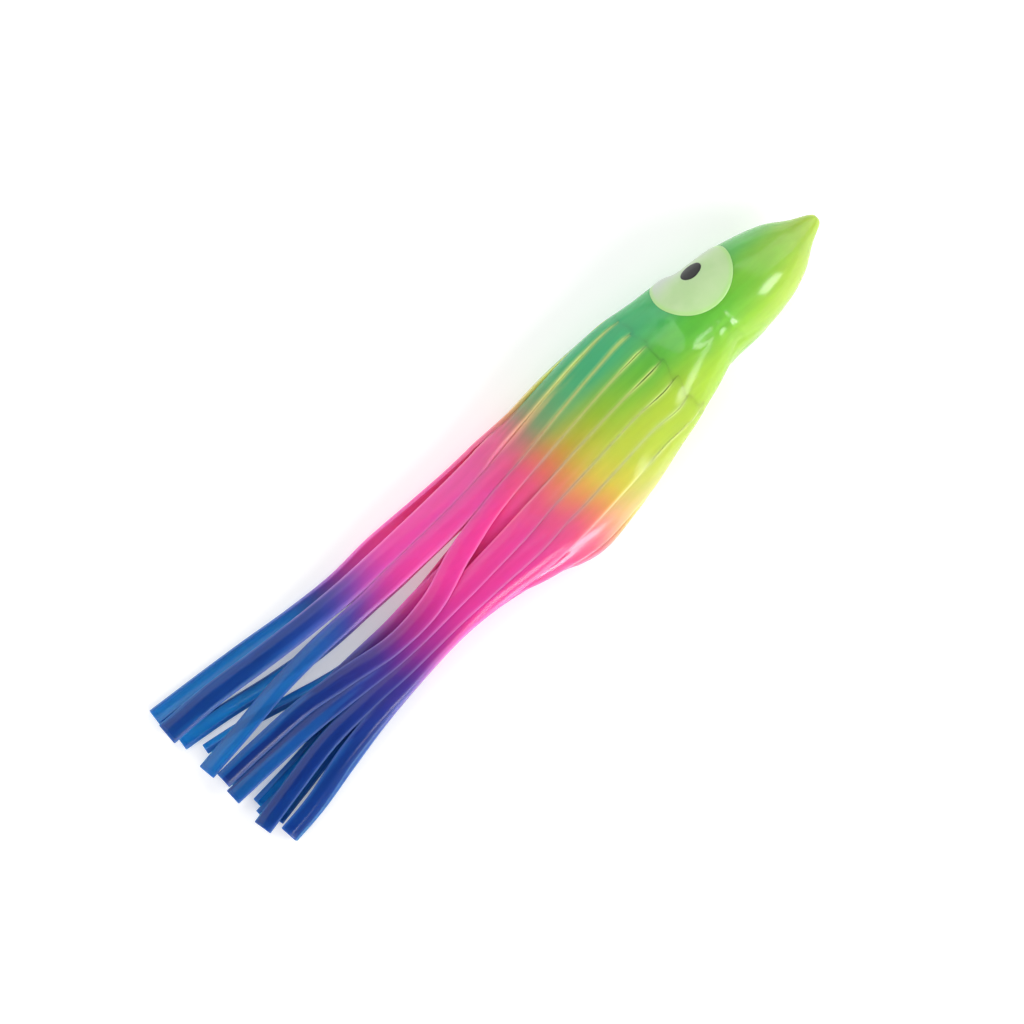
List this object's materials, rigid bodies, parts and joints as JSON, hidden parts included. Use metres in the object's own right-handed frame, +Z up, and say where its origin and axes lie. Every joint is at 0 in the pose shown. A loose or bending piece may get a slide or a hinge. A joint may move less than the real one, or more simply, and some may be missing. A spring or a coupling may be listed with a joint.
{
  "type": "squid skirt lure",
  "caption": "Soft plastic squid-skirt fishing lure: hollow tapered head with domed round eyes, a flared bell and a long fringe of flat straps, lying on its side.",
  "frame": {"origin": "middle of the bounding box in X and Y, on the surface that the lure lies on", "axes": "+X from the strap tips to the nose, +Z up from the surface, +Y across the lure"},
  "size_m": [0.15, 0.0356, 0.0182],
  "materials": {
    "head_green": "glossy translucent soft vinyl, green on one side and lime-yellow on the other, warming to orange at the rim",
    "strap_gradient": "glossy translucent soft vinyl, orange at the root, then hot pink, purple and deep blue at the tip",
    "eye_patch_glow": "pale green-white soft vinyl, satin",
    "eye_pupil_black": "glossy black"
  },
  "bodies": {
    "skirt": {"head_and_bell": "head_green", "upper_eye_patch": "eye_patch_glow", "upper_eye_pupil": "eye_pupil_black", "lower_eye_patch": "eye_patch_glow", "lower_eye_pupil": "eye_pupil_black"},
    "upper_strap_1": {"upper_strap_1": "strap_gradient"},
    "upper_strap_2": {"upper_strap_2": "strap_gradient"},
    "upper_strap_3": {"upper_strap_3": "strap_gradient"},
    "upper_strap_4": {"upper_strap_4": "strap_gradient"},
    "upper_strap_5": {"upper_strap_5": "strap_gradient"},
    "upper_strap_6": {"upper_strap_6": "strap_gradient"},
    "upper_strap_7": {"upper_strap_7": "strap_gradient"},
    "upper_strap_8": {"upper_strap_8": "strap_gradient"},
    "lower_strap_1": {"lower_strap_1": "strap_gradient"},
    "lower_strap_2": {"lower_strap_2": "strap_gradient"},
    "lower_strap_3": {"lower_strap_3": "strap_gradient"},
    "lower_strap_4": {"lower_strap_4": "strap_gradient"},
    "lower_strap_5": {"lower_strap_5": "strap_gradient"},
    "lower_strap_6": {"lower_strap_6": "strap_gradient"},
    "lower_strap_7": {"lower_strap_7": "strap_gradient"},
    "lower_strap_8": {"lower_strap_8": "strap_gradient"}
  },
  "joints": [
    {"name": "upper_strap_1_flex", "type": "hinge", "parent": "skirt", "child": "upper_strap_1", "pos_m": [0.0358, 0.01244, 0.00996], "axis": [0, 0.5408, -0.8412], "range_deg": [0, 30], "stiffness_Nm_per_rad": 0.004},
    {"name": "upper_strap_2_flex", "type": "hinge", "parent": "skirt", "child": "upper_strap_2", "pos_m": [0.0358, 0.00902, 0.01312], "axis": [0, 1, 0], "range_deg": [0, 30], "stiffness_Nm_per_rad": 0.004},
    {"name": "upper_strap_3_flex", "type": "hinge", "parent": "upper_strap_4", "child": "upper_strap_3", "pos_m": [0.0358, 0.00576, 0.01472], "axis": [0, 1, 0], "range_deg": [0, 25], "stiffness_Nm_per_rad": 0.004},
    {"name": "upper_strap_4_flex", "type": "hinge", "parent": "skirt", "child": "upper_strap_4", "pos_m": [0.0358, 0.00209, 0.01472], "axis": [0, 1, 0], "range_deg": [0, 20], "stiffness_Nm_per_rad": 0.004},
    {"name": "upper_strap_5_flex", "type": "hinge", "parent": "skirt", "child": "upper_strap_5", "pos_m": [0.0358, -0.00168, 0.01461], "axis": [0, 1, 0], "range_deg": [0, 30], "stiffness_Nm_per_rad": 0.004},
    {"name": "upper_strap_6_flex", "type": "hinge", "parent": "skirt", "child": "upper_strap_6", "pos_m": [0.0358, -0.00535, 0.01388], "axis": [0, 1, 0], "range_deg": [0, 30], "stiffness_Nm_per_rad": 0.004},
    {"name": "upper_strap_7_flex", "type": "hinge", "parent": "skirt", "child": "upper_strap_7", "pos_m": [0.0358, -0.0087, 0.01216], "axis": [0, 1, 0], "range_deg": [0, 30], "stiffness_Nm_per_rad": 0.004},
    {"name": "upper_strap_8_flex", "type": "hinge", "parent": "skirt", "child": "upper_strap_8", "pos_m": [0.0358, -0.01178, 0.00827], "axis": [0, 0, 1], "range_deg": [0, 30], "stiffness_Nm_per_rad": 0.004},
    {"name": "lower_strap_1_flex", "type": "hinge", "parent": "skirt", "child": "lower_strap_1", "pos_m": [0.0358, 0.01322, 0.00591], "axis": [0, -0.3102, -0.9507], "range_deg": [0, 30], "stiffness_Nm_per_rad": 0.004},
    {"name": "lower_strap_2_flex", "type": "hinge", "parent": "skirt", "child": "lower_strap_2", "pos_m": [0.0358, 0.0103, 0.0028], "axis": [0, -1, 0], "range_deg": [0, 30], "stiffness_Nm_per_rad": 0.004},
    {"name": "lower_strap_3_flex", "type": "hinge", "parent": "skirt", "child": "lower_strap_3", "pos_m": [0.0358, 0.00725, 0.0012], "axis": [0, -1, 0], "range_deg": [0, 30], "stiffness_Nm_per_rad": 0.004},
    {"name": "lower_strap_4_flex", "type": "hinge", "parent": "skirt", "child": "lower_strap_4", "pos_m": [0.0358, 0.00348, 0.00039], "axis": [0, -1, 0], "range_deg": [0, 30], "stiffness_Nm_per_rad": 0.004},
    {"name": "lower_strap_5_flex", "type": "hinge", "parent": "skirt", "child": "lower_strap_5", "pos_m": [0.0358, -0.00029, 0.00028], "axis": [0, -1, 0], "range_deg": [0, 30], "stiffness_Nm_per_rad": 0.004},
    {"name": "lower_strap_6_flex", "type": "hinge", "parent": "skirt", "child": "lower_strap_6", "pos_m": [0.0358, -0.00416, 0.00084], "axis": [0, -1, 0], "range_deg": [0, 30], "stiffness_Nm_per_rad": 0.004},
    {"name": "lower_strap_7_flex", "type": "hinge", "parent": "skirt", "child": "lower_strap_7", "pos_m": [0.0358, -0.00732, 0.00201], "axis": [0, -1, 0], "range_deg": [0, 30], "stiffness_Nm_per_rad": 0.004},
    {"name": "lower_strap_8_flex", "type": "hinge", "parent": "skirt", "child": "lower_strap_8", "pos_m": [0.0358, -0.01082, 0.00411], "axis": [0, -0.6, 0.8], "range_deg": [0, 30], "stiffness_Nm_per_rad": 0.004}
  ]
}
